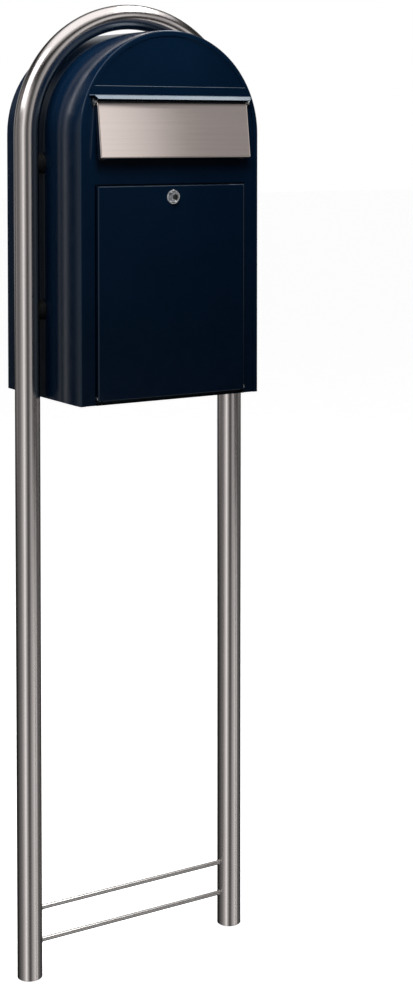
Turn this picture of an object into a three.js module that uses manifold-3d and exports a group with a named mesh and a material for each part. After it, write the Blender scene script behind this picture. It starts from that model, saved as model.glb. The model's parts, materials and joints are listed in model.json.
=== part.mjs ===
// A post box on a bent-tube stand: an arched sheet-steel case with a lifting letter flap and a
// bottom-hinged, locking door, held between the two legs of one inverted-U stainless tube.
// Millimetres, +Z up, -Y is the front. The origin is on the ground, midway between the legs, at the
// middle of the overall depth.
import * as THREE from "three";
import { mergeVertices } from "three/addons/utils/BufferGeometryUtils.js";
import Module from "manifold-3d";

const wasm = await Module();
wasm.setup();

// ---- driving dimensions ----
const SHEET = 1.2; // panels, door, flap and visor
const WRAP_SHEET = 1.5; // the case's arched wrap, its back and its floor
const GAP = 0.3; // between pieces that touch

const CASE = { width: 310, height: 551, depth: 238, bottom: 883, back: 128 };
const FLANGE = 9; // inward fold round the front of the wrap
const TUBE = { radius: 19, wall: 1.5, spacing: 360 }; // spacing is from leg axis to leg axis
const RODS = { radius: 3.5, heights: { upper: 102, lower: 52 } };
const SPACER = { radius: 15.5, heights: { upper: 1236, lower: 1016 } };
const BOLT = { radius: 3, headRadius: 5.5, headHeight: 3.5, length: 20 };
const WASHER = { radius: 7, height: 1.2 };
const RIVET_NUT = { radius: 4.6, flangeRadius: 6, flangeHeight: 0.9, length: 14.5 };

const DOOR = { halfWidth: 127, bottom: 888, top: 1203.5, proud: 4, depth: 14, margin: 2.5 };
const HINGE = { inset: 5, pinRadius: 1.9, boreRadius: 2.2, earX: 121.3, earThickness: 2 };
const LOCK = { height: 1186, barrel: 8.2, flange: 11.5, stands: 7, bore: 5.9, plug: 5.6 };
const CAM = { width: 12, length: 28, thickness: 2 };

const SLOT = { halfWidth: 126, bottom: 1266, top: 1303 };
const FLAP = { halfWidth: 129.5, height: 84, face: 4.2, axisHeight: 1327, axisForward: 3, standOff: 18 };
const ROD = { radius: 2, bore: 2.3 };
const VISOR = { halfWidth: 139.5, lipHalf: 130.5, top: 1350, bend: 1336, lip: 13.7, drop: 6.2, corner: 13 };

// ---- what follows from them ----
const halfWidth = CASE.width / 2;
const frontY = CASE.back - CASE.depth; // the face of the wrap's front flange
const archZ = CASE.bottom + CASE.height - halfWidth; // centre height of both arches
const standY = CASE.back - CASE.depth / 2 + 2; // the plane of the tube's axis
const legX = TUBE.spacing / 2;
const panelY = frontY + WRAP_SHEET + GAP; // the face of the front panel, behind the flange
const behindPanelY = panelY + SHEET + GAP;
const doorY = frontY - DOOR.proud; // the face of the door
const doorBackY = doorY + DOOR.depth;
const hingeY = doorY + HINGE.inset;
const hingeZ = DOOR.bottom + HINGE.inset;
const frameBackY = doorBackY + 2; // the face that the closed door stops against
const flapY = frontY - FLAP.axisForward;
const rodGap = 0.8; // between the flap's rolled corner and the front panel
// The flap hangs with its lower front edge this far forward of the flange.
const flapLean = Math.asin((FLAP.standOff - FLAP.axisForward - FLAP.face) / FLAP.height);

// ---- materials ----
const paint = new THREE.MeshStandardMaterial({ color: 0x07152a, roughness: 0.32, metalness: 0.1 });
const steel = new THREE.MeshStandardMaterial({ color: 0xb7aea8, roughness: 0.3, metalness: 1 });
const zinc = new THREE.MeshStandardMaterial({ color: 0xa9adb2, roughness: 0.45, metalness: 1 });
const chrome = new THREE.MeshStandardMaterial({ color: 0xd5d7dc, roughness: 0.12, metalness: 1 });
const rubber = new THREE.MeshStandardMaterial({ color: 0x060606, roughness: 0.75, metalness: 0 });

// ---- solids ----
function solid(geometry) {
  const bare = geometry.clone();
  bare.deleteAttribute("normal");
  bare.deleteAttribute("uv");
  const merged = mergeVertices(bare, 1e-4);
  return new wasm.Manifold(
    new wasm.Mesh({
      numProp: 3,
      vertProperties: merged.attributes.position.array,
      triVerts: new Uint32Array(merged.index.array),
    }),
  );
}

function geometryOf(made) {
  const { numProp, vertProperties, triVerts } = made.getMesh();
  if (numProp !== 3) throw new Error("expected positions only");
  return new THREE.BufferGeometry()
    .setAttribute("position", new THREE.BufferAttribute(vertProperties, 3))
    .setIndex(new THREE.BufferAttribute(triVerts, 1));
}

// Points round an arc in a plane, angles in degrees, both ends included.
function arc(u, v, radius, from, to, steps) {
  return Array.from({ length: steps + 1 }, (_, i) => {
    const a = THREE.MathUtils.degToRad(from + ((to - from) * i) / steps);
    return new THREE.Vector2(u + radius * Math.cos(a), v + radius * Math.sin(a));
  });
}

const points = (...pairs) => pairs.map(([u, v]) => new THREE.Vector2(u, v));
const rectangle = (u0, u1, v0, v1) => points([u0, v0], [u1, v0], [u1, v1], [u0, v1]);

function extrude(outline, depth, holes = []) {
  const shape = new THREE.Shape(outline);
  shape.holes = holes.map((hole) => new THREE.Path(hole));
  return new THREE.ExtrudeGeometry(shape, { depth, bevelEnabled: false });
}

// A plate facing front: outline in X and Z, from one Y to another.
function facing(outline, y0, y1, holes = []) {
  const g = extrude(outline, y1 - y0, holes).rotateX(Math.PI / 2).translate(0, y1, 0);
  return solid(g);
}

// A plate seen from the side: outline in Y and Z, from one X to another.
const sideways = new THREE.Matrix4().makeBasis(
  new THREE.Vector3(0, 1, 0),
  new THREE.Vector3(0, 0, 1),
  new THREE.Vector3(1, 0, 0),
);
function profile(outline, x0, x1) {
  return solid(extrude(outline, x1 - x0).applyMatrix4(sideways).translate(x0, 0, 0));
}

// A plate lying flat: outline in X and Y, from one Z to another.
const flat = (outline, z0, z1) => solid(extrude(outline, z1 - z0).translate(0, 0, z0));
const block = (x0, x1, y0, y1, z0, z1) => flat(rectangle(x0, x1, y0, y1), z0, z1);

// A solid of revolution from [radius, distance] pairs, standing along +Y.
function turned(pairs, sides = 20) {
  return solid(new THREE.LatheGeometry(points(...pairs), sides));
}
const barAlongX = (radius, x0, x1, y, z, sides = 20) =>
  solid(
    new THREE.CylinderGeometry(radius, radius, x1 - x0, sides)
      .rotateZ(Math.PI / 2)
      .translate((x0 + x1) / 2, y, z),
  );
const barAlongY = (radius, y0, y1, x, z, sides = 20) =>
  solid(new THREE.CylinderGeometry(radius, radius, y1 - y0, sides).translate(x, (y0 + y1) / 2, z));

// ---- the assembly ----
const root = new THREE.Group();
function add(name, made, material, parent = root) {
  const mesh = new THREE.Mesh(made.isBufferGeometry ? made : geometryOf(made), material);
  mesh.name = name;
  parent.add(mesh);
  return mesh;
}

const sides = { left: -1, right: 1 };

// The stand's centreline: up one leg, round the arch, down the other, one step for each leg.
const ARCH_STEPS = 32;
class StandPath extends THREE.Curve {
  getUtoTmapping(u) {
    return u; // stations follow the parameter, so the straight legs take one step each
  }
  getPoint(t, target = new THREE.Vector3()) {
    const station = t * (ARCH_STEPS + 2);
    if (station < 1) return target.set(-legX, standY, archZ * station);
    if (station > ARCH_STEPS + 1) return target.set(legX, standY, archZ * (ARCH_STEPS + 2 - station));
    const a = Math.PI * (1 - (station - 1) / ARCH_STEPS);
    return target.set(legX * Math.cos(a), standY, archZ + legX * Math.sin(a));
  }
  getTangent(t, target = new THREE.Vector3()) {
    const station = t * (ARCH_STEPS + 2);
    if (station <= 1) return target.set(0, 0, 1);
    if (station >= ARCH_STEPS + 1) return target.set(0, 0, -1);
    const a = Math.PI * (1 - (station - 1) / ARCH_STEPS);
    return target.set(Math.sin(a), 0, -Math.cos(a));
  }
}

function standTube() {
  const shape = new THREE.Shape(arc(0, 0, TUBE.radius, 0, 345, 23));
  shape.holes = [new THREE.Path(arc(0, 0, TUBE.radius - TUBE.wall, 0, 330, 11))];
  const g = new THREE.ExtrudeGeometry(shape, { steps: ARCH_STEPS + 2, extrudePath: new StandPath() });
  let tube = solid(g);
  for (const side of Object.values(sides))
    for (const z of Object.values(SPACER.heights)) {
      const x = side * (legX - TUBE.radius);
      tube = tube.subtract(barAlongX(RIVET_NUT.radius + GAP, x - 4, x + 4, standY, z, 16));
    }
  return tube;
}

function anchorRods() {
  const reach = legX - TUBE.radius - GAP;
  for (const [level, z] of Object.entries(RODS.heights))
    add(`anchor_rod_${level}`, barAlongX(RODS.radius, -reach, reach, standY, z, 16), steel);
}

// A piece drawn along +X from the case's left wall outwards, mirrored for the right wall.
function placedOutwards(made, side, z) {
  return made.rotate([0, 0, side > 0 ? 0 : 180]).translate([0, standY, z]);
}

function legFixings() {
  const along = (pairs, n) => turned(pairs, n).rotate([0, 0, -90]); // +Y becomes +X
  const saddleX = legX - TUBE.radius;
  for (const [sideName, side] of Object.entries(sides))
    for (const [level, z] of Object.entries(SPACER.heights)) {
      const at = (made) => placedOutwards(made, side, z);
      const label = `${sideName}_${level}`;
      const spacer = barAlongX(SPACER.radius, halfWidth + GAP, saddleX + 7, 0, 0, 28)
        .subtract(solid(new THREE.CylinderGeometry(TUBE.radius + GAP, TUBE.radius + GAP, 60, 32)
          .rotateX(Math.PI / 2).translate(legX, 0, 0)))
        .subtract(barAlongX(BOLT.radius + GAP, halfWidth - 1, saddleX + 8, 0, 0, 16))
        .subtract(barAlongX(RIVET_NUT.flangeRadius + GAP, saddleX - 1.9, saddleX + 8, 0, 0, 16));
      add(`stand_spacer_${label}`, at(spacer), rubber);

      const nutStart = saddleX - 1.5;
      const nut = along(
        [
          [BOLT.radius + GAP, nutStart],
          [RIVET_NUT.flangeRadius, nutStart],
          [RIVET_NUT.flangeRadius, nutStart + RIVET_NUT.flangeHeight],
          [RIVET_NUT.radius, nutStart + RIVET_NUT.flangeHeight],
          [RIVET_NUT.radius, nutStart + RIVET_NUT.length],
          [BOLT.radius + GAP, nutStart + RIVET_NUT.length],
          [BOLT.radius + GAP, nutStart],
        ],
        16,
      );
      add(`rivet_nut_${label}`, at(nut), zinc);

      const washerStart = halfWidth - WRAP_SHEET - GAP - WASHER.height;
      const washer = along(
        [
          [BOLT.radius + GAP, washerStart],
          [WASHER.radius, washerStart],
          [WASHER.radius, washerStart + WASHER.height],
          [BOLT.radius + GAP, washerStart + WASHER.height],
          [BOLT.radius + GAP, washerStart],
        ],
        16,
      );
      add(`bolt_washer_${label}`, at(washer), zinc);

      const headEnd = washerStart - GAP;
      const headStart = headEnd - BOLT.headHeight;
      const bolt = along(
        [
          [0, headStart],
          [BOLT.headRadius * 0.7, headStart],
          [BOLT.headRadius, headStart + 1.5],
          [BOLT.headRadius, headEnd],
          [BOLT.radius, headEnd],
          [BOLT.radius, headEnd + BOLT.length],
          [0, headEnd + BOLT.length],
        ],
        16,
      ).subtract(
        solid(new THREE.CylinderGeometry(2, 2, 4, 6).rotateZ(Math.PI / 2).translate(headStart, 0, 0)),
      );
      add(`mounting_bolt_${label}`, at(bolt), zinc);
    }
}

// The case's arched outline, seen from the front, with a given half width.
const ARCH_SEGMENTS = 40;
function arched(half, bottom) {
  return [
    ...points([-half, bottom], [half, bottom]),
    ...arc(0, archZ, half, 0, 180, ARCH_SEGMENTS),
  ];
}

function caseWrap() {
  const end = CASE.back - WRAP_SHEET - GAP;
  const below = CASE.bottom - 1;
  let wrap = facing(arched(halfWidth, CASE.bottom), frontY, end)
    .subtract(facing(arched(halfWidth - WRAP_SHEET, below), frontY + WRAP_SHEET, end + 1))
    .subtract(facing(arched(halfWidth - FLANGE, below), frontY - 1, frontY + WRAP_SHEET + 1));
  for (const side of Object.values(sides))
    for (const z of Object.values(SPACER.heights)) {
      const x = side * halfWidth;
      wrap = wrap.subtract(barAlongX(BOLT.radius + 2 * GAP, x - 4, x + 4, standY, z, 16));
    }
  return wrap;
}

function caseFloor() {
  const inside = halfWidth - WRAP_SHEET - GAP;
  const tongue = DOOR.halfWidth + DOOR.margin - 1;
  const outline = points(
    [-tongue, frontY],
    [tongue, frontY],
    [tongue, behindPanelY],
    [inside, behindPanelY],
    [inside, CASE.back - WRAP_SHEET - GAP],
    [-inside, CASE.back - WRAP_SHEET - GAP],
    [-inside, behindPanelY],
    [-tongue, behindPanelY],
  );
  return flat(outline, CASE.bottom, CASE.bottom + WRAP_SHEET);
}

function frontPanel() {
  const half = halfWidth - WRAP_SHEET - GAP;
  const opening = DOOR.halfWidth + DOOR.margin;
  const outline = [
    ...points(
      [-half, CASE.bottom],
      [-opening, CASE.bottom],
      [-opening, DOOR.top + DOOR.margin],
      [opening, DOOR.top + DOOR.margin],
      [opening, CASE.bottom],
      [half, CASE.bottom],
    ),
    ...arc(0, archZ, half, 0, 180, ARCH_SEGMENTS),
  ];
  const slot = rectangle(-SLOT.halfWidth, SLOT.halfWidth, SLOT.bottom, SLOT.top);
  return facing(outline, panelY, panelY + SHEET, [slot]);
}

// The rebate behind the front panel that the closed door sits in.
const REBATE = { half: 119, bottom: 898, top: 1197 };
function doorFrame() {
  const inner = DOOR.halfWidth + DOOR.margin + 0.5;
  const outer = inner + SHEET;
  const bottom = CASE.bottom + WRAP_SHEET + GAP;
  const top = DOOR.top + DOOR.margin + 0.5;
  const back = frameBackY + SHEET;
  return facing(rectangle(-outer, outer, bottom, top + SHEET), behindPanelY, back)
    .subtract(block(-inner, inner, behindPanelY - 1, frameBackY, bottom - 1, top))
    .subtract(block(-REBATE.half, REBATE.half, frameBackY - 1, back + 1, REBATE.bottom, REBATE.top));
}

// The door's lower edge meets the underside of these ears just past its last open position.
function hingeEars() {
  const nose = arc(hingeY, hingeZ, 3.3, 80, 270, 12);
  const shank = points(
    [frameBackY - GAP, hingeZ - 3.3],
    [frameBackY - GAP, hingeZ + 6],
    [hingeY + 6, hingeZ + 6],
  );
  for (const [name, side] of Object.entries(sides)) {
    const x0 = side > 0 ? HINGE.earX : -HINGE.earX - HINGE.earThickness;
    const ear = profile([...nose, ...shank], x0, x0 + HINGE.earThickness).subtract(
      barAlongX(HINGE.boreRadius, x0 - 1, x0 + HINGE.earThickness + 1, hingeY, hingeZ, 20),
    );
    add(`hinge_ear_${name}`, ear, paint);
  }
}

// An anti-theft baffle with side cheeks: letters pass under it and drop.
function letterChute() {
  const half = SLOT.halfWidth + 1;
  const start = behindPanelY;
  const reach = start + 82;
  const tabs = block(-half, half, start, start + SHEET, SLOT.top + 2, SLOT.top + 16);
  const baffle = profile(
    points([start, SLOT.top + 4], [start, SLOT.top + 2.6], [reach, 1246.6], [reach, 1248]),
    -half,
    half,
  );
  const cheek = points([start, SLOT.top + 16], [start, SLOT.bottom - 16], [reach, 1240], [reach, 1248]);
  return tabs
    .add(baffle)
    .add(profile(cheek, half - 0.1, half + SHEET))
    .add(profile(cheek, -half - SHEET, -half + 0.1));
}

// A vertical plate with rounded upper corners, bent out into a sloping drip lip that narrows forwards.
function rainVisor() {
  const back = frontY - GAP;
  const face = back - SHEET;
  const lipY = back - VISOR.lip - SHEET;
  const lipZ = VISOR.bend - VISOR.drop;
  const section = points(
    [back, VISOR.top],
    [face, VISOR.top],
    [face, VISOR.bend + 0.5],
    [lipY, lipZ + 0.5],
    [lipY + 0.5, lipZ - 0.6],
    [back, VISOR.bend - 0.7],
  );
  const cornerX = VISOR.halfWidth - VISOR.corner;
  const cornerZ = VISOR.top - VISOR.corner;
  const outline = [
    ...points([-VISOR.halfWidth, lipZ - 5], [VISOR.halfWidth, lipZ - 5]),
    ...arc(cornerX, cornerZ, VISOR.corner, 0, 90, 8),
    ...arc(-cornerX, cornerZ, VISOR.corner, 90, 180, 8),
  ];
  const plan = points(
    [-VISOR.lipHalf, lipY],
    [VISOR.lipHalf, lipY],
    [VISOR.halfWidth, face],
    [VISOR.halfWidth, back + 5],
    [-VISOR.halfWidth, back + 5],
    [-VISOR.halfWidth, face],
  );
  const hem = block(-124, 124, back - 0.1, panelY - GAP, VISOR.bend + 2, VISOR.top - 2);
  return profile(section, -VISOR.halfWidth, VISOR.halfWidth)
    .intersect(facing(outline, lipY - 5, back + 5))
    .intersect(flat(plan, lipZ - 5, VISOR.top + 1))
    .add(hem);
}

function flapSupports() {
  for (const [name, side] of Object.entries(sides)) {
    const x = side * (FLAP.halfWidth + 2.3);
    const bracket = profile(
      [
        ...points([panelY - GAP, FLAP.axisHeight + 5], [panelY - GAP, FLAP.axisHeight - 6]),
        ...points([flapY + 1, FLAP.axisHeight - 6]),
        ...arc(flapY, FLAP.axisHeight, 4, 270, 110, 8),
      ],
      x - 1,
      x + 1,
    ).subtract(barAlongX(ROD.bore, x - 2, x + 2, flapY, FLAP.axisHeight));
    add(`flap_bracket_${name}`, bracket, zinc);
    const edge = flapY + 4.6 * Math.cos(flapLean) - FLAP.height * Math.sin(flapLean);
    add(
      `flap_buffer_${name}`,
      barAlongY(5, edge + 0.4, panelY - GAP, side * 120, FLAP.axisHeight - FLAP.height + 3.5),
      rubber,
    );
  }
}

// The flap group's own origin is the hinge axis, and it hangs leaning forward.
function letterFlap() {
  const group = new THREE.Group();
  group.position.set(0, flapY, FLAP.axisHeight);
  group.rotation.x = -flapLean;
  root.add(group);
  const half = FLAP.halfWidth;
  const rolled = FLAP.face - GAP + 0.1;
  const outline = [
    ...points([-FLAP.face, 3], [-FLAP.face, -FLAP.height], [4.6, -FLAP.height]),
    ...arc(0, 0, rolled, -10, 85, 8),
    ...points([-1.5, 3]),
  ];
  const inside = -FLAP.face + SHEET;
  const panel = profile(outline, -half, half)
    .subtract(block(-half + SHEET, half - SHEET, inside, 20, -FLAP.height + SHEET, 20))
    .subtract(barAlongX(ROD.bore, -half - 1, half + 1, 0, 0));
  add("letter_flap", panel, steel, group);
  const end = half + 5.5;
  add("flap_hinge_rod", barAlongX(ROD.radius, -end, end, 0, 0, 16), zinc, group);
  for (const [name, side] of Object.entries(sides)) {
    const x = side * (half + 4.4);
    const clip = barAlongX(4.2, x - 0.4, x + 0.4, 0, 0, 16).subtract(
      barAlongX(ROD.radius + 0.15, x - 1, x + 1, 0, 0, 16),
    );
    add(`flap_rod_clip_${name}`, clip, zinc, group);
  }
}

function doorPanel() {
  const w = DOOR.halfWidth;
  const inner = w - SHEET;
  const inside = doorY + SHEET;
  const corner = 1.5;
  const outline = [
    ...arc(w - corner, doorY + corner, corner, -90, 0, 3),
    ...points([w, doorBackY], [-w, doorBackY]),
    ...arc(-w + corner, doorY + corner, corner, 180, 270, 3),
  ];
  let door = flat(outline, DOOR.bottom, DOOR.top)
    .subtract(block(-inner, inner, inside, doorBackY + 1, DOOR.bottom + SHEET, DOOR.top - SHEET))
    .subtract(block(-inner, inner, doorY + 11, doorBackY + 1, DOOR.bottom - 1, DOOR.bottom + 5))
    .subtract(barAlongY(LOCK.barrel + 0.1, doorY - 1, inside + 1, 0, LOCK.height, 28));
  for (const side of Object.values(sides)) {
    const middle = side * (HINGE.earX + HINGE.earThickness / 2);
    door = door
      .subtract(block(middle - 2.2, middle + 2.2, inside, doorBackY + 1, DOOR.bottom - 1, DOOR.bottom + 3))
      .subtract(barAlongX(HINGE.pinRadius + 0.3, side * w - 3, side * w + 3, hingeY, hingeZ));
  }
  return door;
}

function doorPins() {
  for (const [name, side] of Object.entries(sides)) {
    const near = HINGE.earX - 1;
    const far = DOOR.halfWidth + GAP;
    const span = (from, to, radius) => {
      const [x0, x1] = [side * from, side * to].sort((a, b) => a - b);
      return barAlongX(radius, x0, x1, hingeY, hingeZ, 16);
    };
    const pin = span(near, far + 1, HINGE.pinRadius).add(span(far, far + 1, 3));
    add(`door_hinge_pin_${name}`, pin, zinc);
  }
}

// Soft stops on the rebate that the closed door's upper corners rest against.
function doorBuffers() {
  for (const [name, side] of Object.entries(sides))
    add(
      `door_buffer_${name}`,
      barAlongY(3.5, doorBackY - 3, frameBackY - GAP, side * 121.5, DOOR.top - 10, 16),
      rubber,
    );
}

const lockAxis = (made) => made.translate([0, 0, LOCK.height]);

function lockBody() {
  const front = doorY - LOCK.stands;
  const seat = doorY - 0.2;
  const rear = frameBackY + SHEET + 0.8;
  const barrel = turned(
    [
      [LOCK.bore, front],
      [LOCK.barrel - 0.8, front],
      [LOCK.barrel, front + 0.8],
      [LOCK.barrel, seat - 1.5],
      [LOCK.flange - 0.6, seat - 1.5],
      [LOCK.flange, seat - 0.9],
      [LOCK.flange, seat],
      [LOCK.barrel - 0.3, seat],
      [LOCK.barrel - 0.3, rear],
      [LOCK.bore, rear],
      [LOCK.bore, front],
    ],
    28,
  );
  add("lock_barrel", lockAxis(barrel), chrome);
  const nutStart = doorY + SHEET + GAP;
  const nut = barAlongY(12.5, nutStart, nutStart + 4, 0, 0, 6).subtract(
    barAlongY(LOCK.barrel, nutStart - 1, nutStart + 5, 0, 0, 28),
  );
  add("lock_nut", lockAxis(nut), zinc);

  const plugEnd = rear + 0.6;
  const plug = barAlongY(LOCK.plug, front + 0.6, plugEnd, 0, 0, 24)
    .subtract(block(-0.8, 0.8, front - 1, front + 7, -3.8, 3.8))
    .subtract(barAlongY(2.3, plugEnd - 8, plugEnd + 1, 0, 0, 16));
  add("lock_plug", lockAxis(plug), chrome);

  // The cam points sideways, free of the rebate, in the unlocked rest position.
  const camStart = plugEnd + GAP;
  const reach = CAM.length - CAM.width / 2;
  const camOutline = [
    ...arc(0, 0, CAM.width / 2, 90, 270, 8),
    ...arc(reach, 0, CAM.width / 2, -90, 90, 8),
  ];
  const cam = facing(camOutline, camStart, camStart + CAM.thickness).subtract(
    barAlongY(2.3, camStart - 1, camStart + 3, 0, 0, 16),
  );
  add("lock_cam", lockAxis(cam), zinc);
  const headStart = camStart + CAM.thickness + GAP;
  const screw = turned(
    [
      [0, plugEnd - 7],
      [2, plugEnd - 7],
      [2, headStart],
      [4.5, headStart],
      [4.5, headStart + 1.6],
      [3.2, headStart + 2.4],
      [0, headStart + 2.4],
    ],
    16,
  );
  add("cam_screw", lockAxis(screw), zinc);
}

add("stand_tube", standTube(), steel);
anchorRods();
legFixings();
add("case_wrap", caseWrap(), paint);
add(
  "case_back",
  facing(arched(halfWidth, CASE.bottom), CASE.back - WRAP_SHEET, CASE.back),
  paint,
);
add("case_floor", caseFloor(), paint);
add("front_panel", frontPanel(), paint);
add("door_frame", doorFrame(), paint);
hingeEars();
add("letter_chute", letterChute(), paint);
add("rain_visor", rainVisor(), paint);
flapSupports();
letterFlap();
add("door_panel", doorPanel(), paint);
doorPins();
doorBuffers();
lockBody();

export default root;
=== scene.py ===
import json
import math

import bmesh
import bpy
from mathutils import Matrix, Vector

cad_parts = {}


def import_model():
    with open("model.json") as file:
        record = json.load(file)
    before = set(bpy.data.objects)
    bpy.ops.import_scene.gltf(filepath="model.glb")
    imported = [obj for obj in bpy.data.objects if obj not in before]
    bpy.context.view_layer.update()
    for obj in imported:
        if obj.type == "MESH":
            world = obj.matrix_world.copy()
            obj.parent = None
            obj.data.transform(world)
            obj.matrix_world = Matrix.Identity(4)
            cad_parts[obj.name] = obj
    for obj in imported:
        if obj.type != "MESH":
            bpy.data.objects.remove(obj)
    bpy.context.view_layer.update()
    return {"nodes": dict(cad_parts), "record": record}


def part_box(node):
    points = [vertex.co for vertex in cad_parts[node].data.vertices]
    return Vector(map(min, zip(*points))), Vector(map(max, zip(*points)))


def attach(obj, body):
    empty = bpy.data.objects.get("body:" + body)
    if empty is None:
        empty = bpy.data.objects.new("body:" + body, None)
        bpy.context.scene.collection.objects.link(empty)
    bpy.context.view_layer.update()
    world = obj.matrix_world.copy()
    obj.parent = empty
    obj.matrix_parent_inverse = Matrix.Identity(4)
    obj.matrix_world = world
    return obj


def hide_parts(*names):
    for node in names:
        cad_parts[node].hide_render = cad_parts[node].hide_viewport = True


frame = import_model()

MM = 0.001
NODES = frame["nodes"]
BODY = "stand_and_case"


# ---------------------------------------------------------------- shader helpers
NOISE_SPREAD = (0.3, 0.7)  # where most of a noise texture's values lie


def math_node(tree, operation, a, b=0.0):
    """A Math node, whose inputs are numbers or other nodes' outputs."""
    node = tree.nodes.new("ShaderNodeMath")
    node.operation = operation
    for socket, value in zip(node.inputs, (a, b)):
        if isinstance(value, (int, float)):
            socket.default_value = value
        else:
            tree.links.new(value, socket)
    return node.outputs["Value"]


class Shader:
    """A material's node tree, with one Principled shader and short calls for what feeds it."""

    def __init__(self, name, **constants):
        self.material = bpy.data.materials.new(name)
        self.material.use_nodes = True
        self.tree = self.material.node_tree
        self.shader = self.tree.nodes["Principled BSDF"]
        for socket, value in constants.items():
            self.shader.inputs[socket.replace("_", " ")].default_value = value
        self.coords = self.tree.nodes.new("ShaderNodeTexCoord").outputs["Object"]

    def link(self, a, b):
        self.tree.links.new(a, b)

    def feed(self, socket, output):
        self.link(output, self.shader.inputs[socket])

    def stretched(self, stretch):
        node = self.tree.nodes.new("ShaderNodeMapping")
        node.inputs["Scale"].default_value = stretch
        self.link(self.coords, node.inputs["Vector"])
        return node.outputs["Vector"]

    def noise(self, scale, detail=3.0, stretch=(1, 1, 1), roughness=0.5):
        node = self.tree.nodes.new("ShaderNodeTexNoise")
        node.inputs["Scale"].default_value = scale
        node.inputs["Detail"].default_value = detail
        node.inputs["Roughness"].default_value = roughness
        self.link(self.stretched(stretch), node.inputs["Vector"])
        return node.outputs["Fac"]

    def ranged(self, value, low, high):
        """Spreads a noise's usual values from low to high."""
        node = self.tree.nodes.new("ShaderNodeMapRange")
        numbers = (*NOISE_SPREAD, low, high)
        for socket, number in zip(("From Min", "From Max", "To Min", "To Max"), numbers):
            node.inputs[socket].default_value = number
        self.link(value, node.inputs["Value"])
        return node.outputs["Result"]

    def blended(self, value, low, high):
        node = self.tree.nodes.new("ShaderNodeMix")
        node.data_type = "RGBA"
        node.inputs["A"].default_value = (*low, 1)
        node.inputs["B"].default_value = (*high, 1)
        self.link(value, node.inputs["Factor"])
        return node.outputs["Result"]

    def cloudy(self, value, low, high):
        """Base colour that wanders between two colours as a noise does."""
        self.feed("Base Color", self.blended(self.ranged(value, 0, 1), low, high))

    def bump(self, height, distance, strength=1.0):
        node = self.tree.nodes.new("ShaderNodeBump")
        node.inputs["Strength"].default_value = strength
        node.inputs["Distance"].default_value = distance
        self.link(height, node.inputs["Height"])
        before = self.shader.inputs["Normal"]
        if before.is_linked:
            self.link(before.links[0].from_socket, node.inputs["Normal"])
        self.feed("Normal", node.outputs["Normal"])


def powder_coat():
    """Glossy navy powder coat: a faintly cloudy colour, fine orange peel and a finer grain on it."""
    s = Shader("navy_powder_coat", IOR=1.5, Specular_Tint=(0.7, 0.88, 1.0, 1.0))
    s.cloudy(s.noise(9), (0.0014, 0.0105, 0.0305), (0.0019, 0.0128, 0.0365))
    s.feed("Roughness", s.ranged(s.noise(60, 4), 0.1, 0.15))
    s.bump(s.noise(420, 2), 0.00004, 0.5)
    s.bump(s.noise(1900, 1), 0.00001, 0.4)
    return s.material


def brushed(name, stretch, tint=(0.63, 0.585, 0.57), rough=(0.16, 0.24), uv_map=None):
    """Brushed stainless steel, whose grain runs along the coordinate that is stretched least."""
    s = Shader(name, Metallic=1.0)
    if uv_map:
        node = s.tree.nodes.new("ShaderNodeUVMap")
        node.uv_map = uv_map
        s.coords = node.outputs["UV"]
    fine = s.noise(1.0, 4, stretch, roughness=0.65)
    broad = s.noise(1.0, 2, tuple(v * 0.18 for v in stretch))
    fine_share = math_node(s.tree, "MULTIPLY", fine, 0.6)
    broad_share = math_node(s.tree, "MULTIPLY", broad, 0.4)
    grain = math_node(s.tree, "ADD", fine_share, broad_share)
    s.cloudy(grain, tuple(c * 0.95 for c in tint), tuple(c * 1.05 for c in tint))
    s.feed("Roughness", s.ranged(fine, *rough))
    s.bump(fine, 0.00001, 0.25)
    return s.material


def zinc_plate():
    """Bright zinc plate: a mottled, slightly dull metal."""
    s = Shader("bright_zinc_plate", Metallic=1.0)
    s.cloudy(s.noise(130, 4), (0.5, 0.5, 0.49), (0.62, 0.63, 0.64))
    s.feed("Roughness", s.ranged(s.noise(260, 5), 0.28, 0.46))
    s.bump(s.noise(700, 3), 0.00003, 0.4)
    return s.material


def polished_chrome():
    """Polished chrome plate with a faint handling haze."""
    s = Shader("polished_chrome", Metallic=1.0)
    s.cloudy(s.noise(300, 2), (0.7, 0.72, 0.75), (0.8, 0.81, 0.83))
    s.feed("Roughness", s.ranged(s.noise(900, 4), 0.08, 0.17))
    s.bump(s.noise(2500, 2), 0.00001, 0.3)
    return s.material


def black_rubber():
    """Matt black rubber with a fine grain."""
    s = Shader("black_rubber", IOR=1.45)
    s.cloudy(s.noise(160, 4), (0.003, 0.003, 0.0033), (0.009, 0.009, 0.0095))
    s.feed("Roughness", s.ranged(s.noise(500, 4), 0.5, 0.72))
    s.bump(s.noise(1600, 3), 0.00006, 0.6)
    return s.material


PAINT = powder_coat()
TUBE_STEEL = brushed("brushed_stainless_tube", (9, 2600, 1), uv_map="along")
PAN_STEEL = brushed("brushed_stainless_pan", (10, 1900, 1900), tint=(0.66, 0.575, 0.54), rough=(0.06, 0.1))
ROD_STEEL = brushed("drawn_stainless_rod", (12, 2200, 2200), tint=(0.52, 0.5, 0.485))
ZINC = zinc_plate()
CHROME = polished_chrome()
RUBBER = black_rubber()


# ---------------------------------------------------------------- mesh helpers
FOLDED_SHEET = 1.15
ARCH_STEPS = 96
ARCH_ANGLES = [math.pi * (1 - k / ARCH_STEPS) for k in range(ARCH_STEPS + 1)]


def full_turn(steps):
    """Equal angles once round, without the last that would repeat the first."""
    return [2 * math.pi * k / steps for k in range(steps)]


def quarter_turn(steps):
    """Equal angles from 0 to a right angle, both included."""
    return [math.pi / 2 * k / steps for k in range(steps + 1)]


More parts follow.
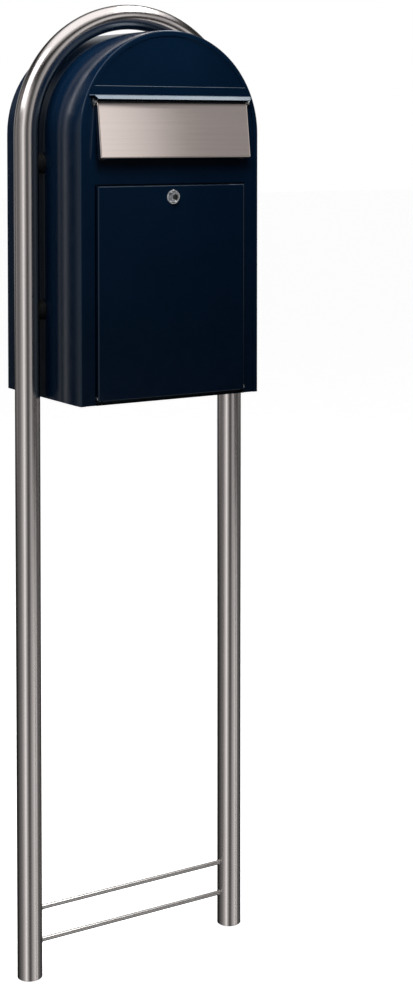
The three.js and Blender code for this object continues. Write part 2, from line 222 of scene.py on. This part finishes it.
def piece(name, mesh_maker, material, body, replaces=(), smooth=35):
    """A new piece, from a function that fills a bmesh in millimetres of the row frame."""
    bm = bmesh.new()
    mesh_maker(bm)
    bmesh.ops.remove_doubles(bm, verts=bm.verts, dist=0.001)
    bmesh.ops.recalc_face_normals(bm, faces=bm.faces)
    bmesh.ops.scale(bm, vec=(MM, MM, MM), verts=bm.verts)
    mesh = bpy.data.meshes.new(name)
    bm.to_mesh(mesh)
    bm.free()
    mesh.materials.append(material)
    mesh.shade_smooth()
    mesh.set_sharp_from_angle(angle=math.radians(smooth))
    obj = bpy.data.objects.new(name, mesh)
    normals = obj.modifiers.new("normals", "WEIGHTED_NORMAL")
    normals.keep_sharp = True
    bpy.context.scene.collection.objects.link(obj)
    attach(obj, body)
    if replaces:
        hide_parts(*replaces)
    return obj


def folded_sheet(obj):
    """Thickens a folded skin inwards by the sheet's thickness, before its normals are weighted."""
    skin = obj.modifiers.new("sheet", "SOLIDIFY")
    skin.thickness = FOLDED_SHEET * MM
    skin.offset = -1
    obj.modifiers.move(1, 0)


def rings(bm, loops, closed_loop=True, capped=False):
    """Joins a row of equal loops of points into a skin, and can cap both ends."""
    made = [[bm.verts.new(p) for p in loop] for loop in loops]
    count = len(made[0])
    for a, b in zip(made, made[1:]):
        for i in range(count if closed_loop else count - 1):
            j = (i + 1) % count
            bm.faces.new((a[i], a[j], b[j], b[i]))
    if capped:
        bm.faces.new(made[0])
        bm.faces.new(made[-1])
    return made


def turned(bm, profile, axis_x, axis_z, sides=64):
    """Turns (radius, y) pairs about a line along Y. A profile that starts off the line is closed."""
    axis = Vector((axis_x, 0, axis_z))
    loops = [
        [axis + Vector((radius * math.cos(a), y, radius * math.sin(a))) for a in full_turn(sides)]
        for radius, y in profile
    ]
    on_axis = profile[0][0] < 0.01
    rings(bm, loops if on_axis else loops + [loops[0]])


def round_corner(points, radius, steps=6):
    """A polyline in a plane with its inner corners rounded."""
    out = [Vector(points[0])]
    for a, b, c in zip(points, points[1:], points[2:]):
        a, b, c = Vector(a), Vector(b), Vector(c)
        u, v = (a - b).normalized(), (c - b).normalized()
        half = u.angle(v) / 2
        reach = radius / math.tan(half)
        centre = b + (u + v).normalized() * (radius / math.sin(half))
        start, end = b + u * reach - centre, b + v * reach - centre
        sweep = start.angle(end)
        for k in range(steps + 1):
            t = k / steps
            spoke = start * math.sin((1 - t) * sweep) + end * math.sin(t * sweep)
            out.append(centre + spoke / math.sin(sweep))
    out.append(Vector(points[-1]))
    return out


def thick(path, thickness):
    """A closed loop round a flat path that is a sheet's outer face, with the sheet on its left."""
    inner = []
    for i, p in enumerate(path):
        a = path[max(i - 1, 0)]
        b = path[min(i + 1, len(path) - 1)]
        d = (b - a).normalized()
        inner.append(p + Vector((-d.y, d.x)) * thickness)
    return list(path) + inner[::-1]


def mm_box(node):
    """A CAD node's lowest and highest corners, in millimetres."""
    low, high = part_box(node)
    return low / MM, high / MM


# ---------------------------------------------------------------- the stand
tube_low, tube_high = mm_box("stand_tube")
tube_y = (tube_low.y + tube_high.y) / 2
tube_r = (tube_high.y - tube_low.y) / 2
tube_wall = 1.5
leg_x = tube_high.x - tube_r
arch_z = tube_high.z - tube_r - leg_x


def stand_stations():
    """Centre, outward direction and distance along for each station of the stand's centreline."""
    stations = []
    leg_steps = 14
    for k in range(leg_steps):
        z = arch_z * k / leg_steps
        stations.append((Vector((-leg_x, tube_y, z)), Vector((-1, 0, 0)), z))
    for a in ARCH_ANGLES:
        out = Vector((math.cos(a), 0, math.sin(a)))
        stations.append((Vector((0, tube_y, arch_z)) + out * leg_x, out, arch_z + leg_x * (math.pi - a)))
    for k in range(leg_steps - 1, -1, -1):
        z = arch_z * k / leg_steps
        distance = arch_z + leg_x * math.pi + arch_z - z
        stations.append((Vector((leg_x, tube_y, z)), Vector((1, 0, 0)), distance))
    return stations


def stand_tube(bm):
    """The bent tube with its open bore and chamfered feet, and a UV map that runs along and round it."""
    sides, chamfer, bore_start = 48, 0.45, 60
    inner = tube_r - tube_wall
    uv = bm.loops.layers.uv.new("along")
    stations = stand_stations()
    first, last = stations[0], stations[-1]
    total = last[2]

    def ring(centre, out, radius, lift=0):
        side = Vector((0, 1, 0))
        return [
            centre + Vector((0, 0, lift)) + (out * math.cos(a) + side * math.sin(a)) * radius
            for a in full_turn(sides)
        ]

    def foot(station):
        """A foot's rings from inside the bore, round the end and up to the outer chamfer."""
        centre, out, _ = station
        return [
            ring(centre, out, inner, bore_start),
            ring(centre, out, inner, chamfer),
            ring(centre, out, inner + chamfer),
            ring(centre, out, tube_r - chamfer),
        ]

    loops = foot(first)
    along = [bore_start, 0, 0, 0]
    for centre, out, distance in stations:
        at_foot = centre.z < 0.001
        loops.append(ring(centre, out, tube_r, chamfer if at_foot else 0))
        along.append(distance)
    loops += foot(last)[::-1]
    along += [total, total, total, total - bore_start]
    made = rings(bm, loops)

    # The bore's wall joins the two feet's inner ends.
    bore = [[bm.verts.new(p) for p in ring(centre, out, inner)] for centre, out, _ in stations[1:-1]]
    chain = [made[0]] + bore + [made[-1]]
    for a, b in zip(chain, chain[1:]):
        for i in range(sides):
            j = (i + 1) % sides
            bm.faces.new((a[i], b[i], b[j], a[j]))

    distances = along + [distance for _, _, distance in stations[1:-1]]
    where = {
        v: (distance * MM, i / sides)
        for loop, distance in zip(made + bore, distances)
        for i, v in enumerate(loop)
    }
    girth = 2 * math.pi * tube_r * MM
    for face in bm.faces:
        parts = [where[corner.vert][1] for corner in face.loops]
        wraps = max(parts) - min(parts) > 0.5
        for corner in face.loops:
            distance, part = where[corner.vert]
            if wraps and part < 0.5:
                part += 1
            corner[uv].uv = (distance, part * girth)


piece("stand_tube_brushed", stand_tube, TUBE_STEEL, BODY, ["stand_tube"], smooth=30)


def anchor_rod(z, radius):
    """A drawn rod with flat ends, just clear of the legs; its weld beads are pieces of their own."""

    def make(bm):
        reach = leg_x - tube_r - 0.2
        steps = 24
        rings(bm, [
            [
                Vector((x, tube_y + radius * math.cos(a), z + radius * math.sin(a)))
                for a in full_turn(28)
            ]
            for x in (-reach + 2 * reach * k / steps for k in range(steps + 1))
        ], capped=True)

    return make


def weld_bead(side, z, radius):
    """A rippled bead round a rod's end, following the leg's round wall."""
    around, bead_r, off_wall = radius + 0.35, 0.95, 0.35
    ripples, ripple_share = 11, 0.12

    def make(bm):
        loops = []
        for a in full_turn(40):
            size = bead_r * (1 + ripple_share * math.sin(a * ripples))
            base = leg_x - math.sqrt(tube_r**2 - (around * math.cos(a)) ** 2) - off_wall
            loops.append([
                Vector((
                    side * (base - size * (0.5 + math.sin(b))),
                    tube_y + (around + size * math.cos(b)) * math.cos(a),
                    z + (around + size * math.cos(b)) * math.sin(a),
                ))
                for b in full_turn(10)
            ])
        rings(bm, loops + [loops[0]])

    return make


for level in ("upper", "lower"):
    low, high = mm_box(f"anchor_rod_{level}")
    z, radius = (low.z + high.z) / 2, (high.z - low.z) / 2
    rod = anchor_rod(z, radius)
    piece(f"anchor_rod_{level}_drawn", rod, ROD_STEEL, BODY, [f"anchor_rod_{level}"])
    for word, side in (("left", -1), ("right", 1)):
        piece(f"weld_{word}_{level}", weld_bead(side, z, radius), ROD_STEEL, BODY)


# ---------------------------------------------------------------- the case
wrap_low, wrap_high = mm_box("case_wrap")
wrap_sheet = 1.5
flange = 9.0
crown_depth, crown_rise = 26, 0.9
case_r = wrap_high.x
case_arch = wrap_high.z - case_r


def along_wrap(inset, y):
    """Points of the arched outline at an inset from the case's outer face."""
    r = case_r - inset
    straight = 10
    rise = case_arch - wrap_low.z
    left = [Vector((-r, y, wrap_low.z + rise * k / straight)) for k in range(straight)]
    arch = [Vector((r * math.cos(a), y, case_arch + r * math.sin(a))) for a in ARCH_ANGLES]
    right = [Vector((-p.x, p.y, p.z)) for p in left[::-1]]
    return left + arch + right


def case_wrap(bm):
    """One sheet: the side wall, a crowned and rolled front corner, and the narrow front flange."""
    steps = 8
    crown = [
        (crown_rise * (k / steps) ** 2, wrap_low.y + crown_depth * (1 - k / steps)) for k in range(steps)
    ]
    corner = round_corner([crown[-1], (crown_rise, wrap_low.y), (flange, wrap_low.y)], 2.2, 7)
    outer = [Vector(p) for p in [(0, wrap_high.y), *crown]] + corner[1:]
    closed = thick(outer, wrap_sheet)
    rows = [along_wrap(p.x, p.y) for p in closed]
    stations = [[row[i] for row in rows] for i in range(len(rows[0]))]
    rings(bm, stations, capped=True)


piece("case_wrap_formed", case_wrap, PAINT, BODY, ["case_wrap"])


def rain_visor(bm):
    """A bent sheet: an upright plate, its top edge turned over, and a short level run and sloping lip."""
    low, high = mm_box("rain_visor")
    clear, depth = 0.3, 1.2
    face = wrap_low.y - clear - depth
    half, top = high.x, high.z
    corner, edge, plate, end_taper = 13, 1.0, 14.2, 9
    foot = top - plate
    lip = (low.y + 1.0, low.z + 1.1)
    slope_start = (lip[0] + foot - lip[1], foot)
    path = round_corner([(face, top), (face, foot), slope_start, lip], 1.2, 6)
    turn_over = [
        Vector((face + edge * (1 - math.cos(a)), top - edge * (1 - math.sin(a))))
        for a in (math.pi / 2 * (1 - k / 6) for k in range(6))
    ]
    start = Vector((face, top - edge))
    outer = turn_over + [start + (path[1] - start) * (k / 16) for k in range(16)] + path[1:]
    section = thick([Vector((p.x, p.y)) for p in outer], FOLDED_SHEET)

    def half_width(p):
        """The plate's upper corners are round, and the lip narrows a little towards its edge."""
        rise = max(p.y - (top - corner), 0)
        taper = end_taper * max(face - p.x, 0) / (face - low.y)
        return half - corner + math.sqrt(max(corner**2 - rise**2, 0)) - taper

    columns = 40
    shares = [-1 + 2 * k / columns for k in range(columns + 1)]
    rings(bm, [[Vector((t * half_width(p), p.x, p.y)) for p in section] for t in shares], capped=True)


piece("rain_visor_bent", rain_visor, PAINT, BODY, ["rain_visor"])


# ---------------------------------------------------------------- the door
door_low, door_high = mm_box("door_panel")
lock_low, lock_high = mm_box("lock_barrel")
lock_z = (lock_low.z + lock_high.z) / 2
ear_low, ear_high = mm_box("hinge_ear_right")
bend = 2.0


def pan_layers(back, face, *between):
    """(inset, y) of a pan's outline from its open back, round its front bend and onto its face."""
    layers = [(0, y) for y in (back, *between, face + bend)]
    for a in quarter_turn(6)[1:]:
        layers.append((bend * (1 - math.cos(a)), face + bend * (1 - math.sin(a))))
    return layers


def door(bm):
    """A folded pan: bent on all four edges, notched at the bottom round the hinge ears."""
    half, face, back = door_high.x, door_low.y, door_high.y
    bottom_return, corner_r, lock_hole_r, relief = 11, 0.8, 8.25, 2.2
    ear_x = (ear_low.x + ear_high.x) / 2
    notch = (ear_x - relief, ear_x + relief)
    across = sorted({0, *notch, *(half * k / 10 for k in range(10))})
    across = [-x for x in across[:0:-1]] + across
    upright = [door_low.z + (door_high.z - door_low.z) * k / 12 for k in range(1, 12)]

    def outline(inset, y):
        h, low, high = half - inset, door_low.z + inset, door_high.z - inset

        def corner(x, z, start):
            cx, cz = x - math.copysign(corner_r, x), z + (corner_r if z == low else -corner_r)
            return [
                Vector((cx + corner_r * math.cos(a), y, cz + corner_r * math.sin(a)))
                for a in (math.radians(start + 90 * k / 4) for k in range(5))
            ]

        bottom = [Vector((x, min(y, face + bottom_return), low)) for x in across]
        right = [Vector((h, y, z)) for z in upright]
        top = [Vector((-x, y, high)) for x in across]
        left = [Vector((-h, y, z)) for z in upright[::-1]]
        return [
            *bottom, *corner(h, low, -90), *right, *corner(h, high, 0),
            *top, *corner(-h, high, 90), *left, *corner(-h, low, 180),
        ]

    made = rings(bm, [outline(inset, y) for inset, y in pan_layers(back, face)])
    hole = [
        bm.verts.new((lock_hole_r * math.cos(a), face, lock_z + lock_hole_r * math.sin(a)))
        for a in full_turn(48)
    ]
    edges = [bm.edges.get((a, b)) for a, b in zip(made[-1], made[-1][1:] + made[-1][:1])]
    edges += [bm.edges.new((a, b)) for a, b in zip(hole, hole[1:] + hole[:1])]
    bmesh.ops.triangle_fill(bm, edges=edges, use_beauty=True)

    # Each notch runs through the bottom return and nearly all of its bend.
    notch_top = door_low.z + 0.95 * bend
    centres = [(f, f.calc_center_median()) for f in bm.faces]
    gone = [f for f, c in centres if c.z < notch_top and notch[0] < abs(c.x) < notch[1]]
    bmesh.ops.delete(bm, geom=gone, context="FACES")


folded_sheet(piece("door_folded", door, PAINT, "door", ["door_panel"]))


# ---------------------------------------------------------------- the letter flap
joints = frame["record"]["behaviour"]["joints"]
flap_axis = Vector(next(j["pos_m"] for j in joints if j["name"] == "flap_hinge"))
flap_height, flap_reach = 84.0, 10.8
flap_lean = math.asin(flap_reach / flap_height)


def letter_flap(bm):
    """A folded pan about its hinge axis, open at the top, whose top edge curls back a little."""
    half, front, back, corner, rise = 129.5, -4.2, 4.2, 1.6, 3
    curl_start, curl_r = -12, 55
    corner_steps, bottom_steps = 5, 24
    levels = [rise - 2.5 * k for k in range(7)] + [curl_start - 70 * k / 5 for k in range(1, 6)]
    side_points = len(levels) + corner_steps + 1

    def outline(inset, y):
        h, low, r = half - inset, -flap_height + inset, max(corner - inset, 0.05)
        points = [Vector((-h, y, z)) for z in levels]
        points += [
            Vector((-h + r - r * math.cos(a), y, low + r - r * math.sin(a)))
            for a in quarter_turn(corner_steps)
        ]
        points += [
            Vector((-h + r + (2 * h - 2 * r) * k / bottom_steps, y, low)) for k in range(1, bottom_steps)
        ]
        return points + [Vector((-p.x, p.y, p.z)) for p in points[:side_points]][::-1]

    layers = pan_layers(back, front, (back + front) / 2)
    rim = rings(bm, [outline(inset, y) for inset, y in layers], closed_loop=False)[-1]

    # Rows of quads across the face, so that it can bend, and one face for the bottom.
    rows = side_points - 2
    for i in range(rows):
        bm.faces.new((rim[i], rim[i + 1], rim[-i - 2], rim[-i - 1]))
    bm.faces.new(rim[rows:-rows])
    for v in bm.verts:
        curl = max(v.co.z - curl_start, 0) ** 2 / (2 * curl_r)
        v.co.y += curl * (back - v.co.y) / (back - front)


flap = piece("letter_flap_folded", letter_flap, PAN_STEEL, "letter_flap", ["letter_flap"])
flap.data.transform(Matrix.Translation(flap_axis) @ Matrix.Rotation(-flap_lean, 4, "X"))
folded_sheet(flap)


# ---------------------------------------------------------------- the lock
lock_x = 0.0
barrel_r, flange_r, plug_hole_r, rear_r = 7.6, 10.9, 5.9, 7.9


def lock_barrel(bm):
    """A turned barrel: a rounded nose, a groove, and a stepped flange just clear of the door's face."""
    front, rear, seat = lock_low.y, lock_high.y, door_low.y - 0.2
    nose = [(plug_hole_r, front + 0.7), (6.1, front + 0.25), (6.5, front), (6.9, front), (7.3, front + 0.2)]
    groove = [(7.5, front + 0.6), (barrel_r, front + 1.2), (barrel_r, seat - 0.8), (8.6, seat - 0.8)]
    rim = [(8.7, seat - 1.4), (9.0, seat - 1.6), (9.9, seat - 1.6), (10.5, seat - 1.3), (10.8, seat - 0.8)]
    shank = [(flange_r, seat), (rear_r, seat), (rear_r, rear), (plug_hole_r, rear)]
    turned(bm, nose + groove + rim + shank, lock_x, lock_z)


def lock_plug(bm):
    """The turned plug, with a chamfered face."""
    low, high = mm_box("lock_plug")
    centre, plug_r = 0.001, 5.55
    face = [(plug_r, low.y + 0.5), (5.1, low.y + 0.1), (4.6, low.y), (centre, low.y)]
    turned(bm, [(centre, high.y), (plug_r, high.y), *face], lock_x, lock_z, sides=48)


def key_slot_painted_shade(bm):
    """A black plate with the key slot's outline, let into the plug's face: painted shade standing in for
    the dark hollow of the slot.
    """
    low, _ = mm_box("lock_plug")
    proud, thickness = 0.02, 0.4
    y = low.y - proud
    right = [(0.75, -3.6), (0.75, -1.2), (1.15, -0.9), (1.15, 0.2), (0.75, 0.5), (0.75, 3.6)]
    left = [(-0.75, 3.6), (-0.75, 1.6), (-0.35, 1.3), (-0.35, 0.9), (-0.75, 0.6)]
    outline = [(-0.75, -3.6), *right, *left]
    front = [bm.verts.new((lock_x + x, y, lock_z + z)) for x, z in outline]
    back = [bm.verts.new((lock_x + x, y + thickness, lock_z + z)) for x, z in outline]
    bm.faces.new(front)
    bm.faces.new(back[::-1])
    for i in range(len(outline)):
        j = (i + 1) % len(outline)
        bm.faces.new((front[i], back[i], back[j], front[j]))


piece("lock_barrel_turned", lock_barrel, CHROME, "door", ["lock_barrel"])
piece("lock_plug_turned", lock_plug, CHROME, "lock_plug_and_cam", ["lock_plug"])
# The black key slot plate is painted shade: a dark sheet where the slot's hollow would only be in shade.
piece("lock_keyway_painted_shade", key_slot_painted_shade, RUBBER, "lock_plug_and_cam")


# ---------------------------------------------------------------- the CAD nodes that stay
LOOKS = {
    "painted_steel": PAINT,
    "stainless_steel": ROD_STEEL,
    "zinc_plated_steel": ZINC,
    "chrome": CHROME,
    "black_rubber": RUBBER,
}
EDGE = 0.25
EDGES = {"front_panel": 0.3, "case_back": 0.5, "case_floor": 0.4, "door_frame": 0.3}
for entry in frame["record"]["subparts"]:
    node = NODES[entry["node"]]
    node.data.materials.clear()
    node.data.materials.append(LOOKS[entry["material_slot"]])
    edge = node.modifiers.new("edges", "BEVEL")
    edge.width = EDGES.get(entry["node"], EDGE) * MM
    edge.segments = 2
    edge.limit_method = "ANGLE"
    edge.angle_limit = math.radians(50)
    edge.harden_normals = True


# ---------------------------------------------------------------- camera
camera_data = bpy.data.cameras.new("camera")
camera = bpy.data.objects.new("camera", camera_data)
bpy.context.scene.collection.objects.link(camera)
bpy.context.scene.camera = camera
camera_data.sensor_fit = "AUTO"
camera_data.sensor_width = 36
camera_data.lens = 65.24
camera_data.shift_y = -0.29
camera_data.clip_end = 60
heading, pitch = math.radians(32.18), math.radians(2.43)
camera.location = (-1.3929, -2.4207, 1.2808)
camera.rotation_euler = (math.pi / 2 - pitch, 0, -heading)


# ---------------------------------------------------------------- floor and light
def pale_floor():
    """A wide floor just under the feet, which neither lights the object nor shows in its reflections."""
    half, gap = 30, 0.0005
    mesh = bpy.data.meshes.new("floor")
    corners = [(x * half, y * half, 0) for x, y in ((-1, -1), (1, -1), (1, 1), (-1, 1))]
    mesh.from_pydata(corners, [], [(0, 1, 2, 3)])
    pale = Shader("pale_floor", Roughness=0.9)
    pale.cloudy(pale.noise(3), (0.9, 0.9, 0.9), (0.93, 0.93, 0.93))
    pale.shader.inputs["Emission Color"].default_value = (1, 1, 1, 1)
    pale.shader.inputs["Emission Strength"].default_value = 0.8
    mesh.materials.append(pale.material)
    obj = bpy.data.objects.new("floor", mesh)
    obj.location.z = -gap
    obj.visible_glossy = False
    obj.visible_diffuse = False
    bpy.context.scene.collection.objects.link(obj)
    return obj


floor = pale_floor()


def world():
    """White behind the object; reflections see a dim studio with tall soft strips of light.

    Each ramp gives a brightness for stops in degrees. Azimuth is 0 at the front (-Y) and 90 at the
    right (+X), and elevation is 0 at the horizon.
    """
    studio = bpy.data.worlds.new("studio")
    bpy.context.scene.world = studio
    studio.use_nodes = True
    tree = studio.node_tree
    tree.nodes.clear()
    new, link = tree.nodes.new, tree.links.new

    def times(a, b):
        return math_node(tree, "MULTIPLY", a, b)

    def total(*parts):
        result = parts[0]
        for part in parts[1:]:
            result = math_node(tree, "ADD", result, part)
        return result

    def ramp(angle, limit, stops):
        span = new("ShaderNodeMapRange")
        span.inputs["From Min"].default_value = -limit
        span.inputs["From Max"].default_value = limit
        link(angle, span.inputs["Value"])
        node = new("ShaderNodeValToRGB")
        node.color_ramp.interpolation = "EASE"
        elements = node.color_ramp.elements
        while len(elements) < len(stops):
            elements.new(0.5)
        for element, (at, level) in zip(elements, stops):
            element.position = (at + limit) / (2 * limit)
            element.color = (level, level, level, 1)
        link(span.outputs["Result"], node.inputs["Fac"])
        return node.outputs["Color"]

    direction = new("ShaderNodeSeparateXYZ")
    link(new("ShaderNodeTexCoord").outputs["Generated"], direction.inputs["Vector"])
    x, y, z = (direction.outputs[axis] for axis in "XYZ")
    azimuth = times(math_node(tree, "ARCTAN2", x, times(y, -1)), 180 / math.pi)
    elevation = times(math_node(tree, "ARCSINE", z), 180 / math.pi)

    def by_azimuth(*stops):
        return ramp(azimuth, 180, stops)

    def by_elevation(*stops):
        return ramp(elevation, 90, stops)

    # Tall strips of light all round, from well below the horizon to about 30 degrees above it.
    strips = by_azimuth(
        (-180, 0.02), (-150, 0.02), (-126, 0.11), (-98, 0.22), (-80, 0.45), (-66, 0.75), (-57, 1.4),
        (-48, 0.7), (-36, 0.32), (-27, 0.08), (-17, 0.1), (3, 0.48), (14, 0.65), (24, 0.9), (30, 1.15),
        (32.4, 0.36), (38, 0.36), (42, 0.95), (50, 0.75), (58, 0.18), (92, 0.08), (120, 0.03),
        (150, 0.02), (180, 0.02),
    )
    strip_height = by_elevation((-90, 0.02), (-50, 0.12), (-36, 1), (20, 1), (33, 0), (90, 0))

    # A dark screen round the horizon at the front right, in front of the strips.
    screen_width = by_azimuth((-180, 0), (8, 0), (20, 1), (60, 1), (80, 0), (180, 0))
    screen_height = by_elevation((-90, 0), (-13.5, 0), (-11, 1), (7, 1), (11, 0), (90, 0))
    screen_strength = 0.97
    screened = times(times(screen_width, screen_height), screen_strength)
    past_screen = math_node(tree, "SUBTRACT", 1, screened)

    ceiling = by_elevation((-90, 0), (38, 0), (52, 0.6), (66, 0.95), (90, 0.95))

    # Low light behind on the right, below the horizon.
    rear_width = by_azimuth((-180, 0), (128, 0), (140, 0.7), (164, 0.7), (174, 0), (180, 0))
    rear_height = by_elevation((-90, 0), (-48, 0), (-36, 1), (-15, 1), (-10, 0), (90, 0))

    # Two soft streaks behind on the left, round the horizon.
    streaks = by_azimuth(
        (-180, 0), (-158, 0.14), (-153, 0), (-150, 0), (-143, 0.33), (-128, 0.12), (-112, 0), (180, 0),
    )
    streak_height = by_elevation((-90, 0), (-12, 0), (-9, 1), (20, 1), (33, 0), (90, 0))

    # A level band on the right and behind, which the flap mirrors when it is seen from the left.
    band_width = by_azimuth(
        (-180, 0.35), (-168, 0), (46, 0), (60, 0.5), (76, 0.7), (130, 0.6), (166, 0.35), (180, 0.35),
    )
    band_height = by_elevation((-90, 0), (-8, 0), (-3, 1), (14, 1), (24, 0), (90, 0))

    reflected = total(
        times(times(strips, strip_height), past_screen),
        ceiling,
        times(rear_width, rear_height),
        times(streaks, streak_height),
        times(band_width, band_height),
    )
    diffuse = by_elevation((-90, 0.03), (-10, 0.04), (20, 0.08), (90, 0.35))

    def background(strength):
        node = new("ShaderNodeBackground")
        node.inputs["Color"].default_value = (1, 1, 1, 1)
        if isinstance(strength, (int, float)):
            node.inputs["Strength"].default_value = strength
        else:
            link(strength, node.inputs["Strength"])
        return node.outputs["Background"]

    def chosen(which, otherwise, then):
        node = new("ShaderNodeMixShader")
        link(which, node.inputs["Fac"])
        link(otherwise, node.inputs[1])
        link(then, node.inputs[2])
        return node.outputs["Shader"]

    path = new("ShaderNodeLightPath")
    lit = chosen(path.outputs["Is Glossy Ray"], background(diffuse), background(reflected))
    seen = chosen(path.outputs["Is Camera Ray"], lit, background(1.0))
    link(seen, new("ShaderNodeOutputWorld").inputs["Surface"])


def softbox(name, place, aim, size, power, glossy=True, diffuse=True):
    """A rectangular light, which can be left out of reflections or of the diffuse light."""
    data = bpy.data.lights.new(name, "AREA")
    data.shape = "RECTANGLE"
    data.size, data.size_y = size
    data.energy = power
    light = bpy.data.objects.new(name, data)
    light.location = place
    light.rotation_euler = (Vector(aim) - Vector(place)).to_track_quat("-Z", "Y").to_euler()
    light.visible_glossy = glossy
    light.visible_diffuse = diffuse
    light.visible_camera = False
    bpy.context.scene.collection.objects.link(light)


world()
softbox("overhead", (0.5, 0.0, 3.2), (0.5, 0, 1.3), (3.2, 2.2), 12)
softbox("key", (1.13, -0.1, 3.25), (1.13, -0.1, 1.3), (0.6, 2.4), 28, diffuse=False)
softbox("upper_left", (-1.2, -0.1, 2.2), (0, 0, 1.35), (1.0, 1.1), 8)
softbox("back_left", (-0.6, 0.4, 2.9), (0, 0.1, 1.35), (1.0, 0.7), 18, glossy=False)
softbox("front_fill", (-0.2, -0.55, 1.75), (0, -0.1, 1.45), (0.4, 0.4), 3.8, glossy=False)
softbox("rear_fill", (0.5, 2.0, 2.1), (0, 0.1, 1.1), (1.2, 1.0), 16, glossy=False)
softbox("right_fill", (2.0, 0.5, 1.9), (0, 0.1, 1.1), (1.2, 1.0), 10, glossy=False)
bpy.context.scene.view_settings.view_transform = "Standard"
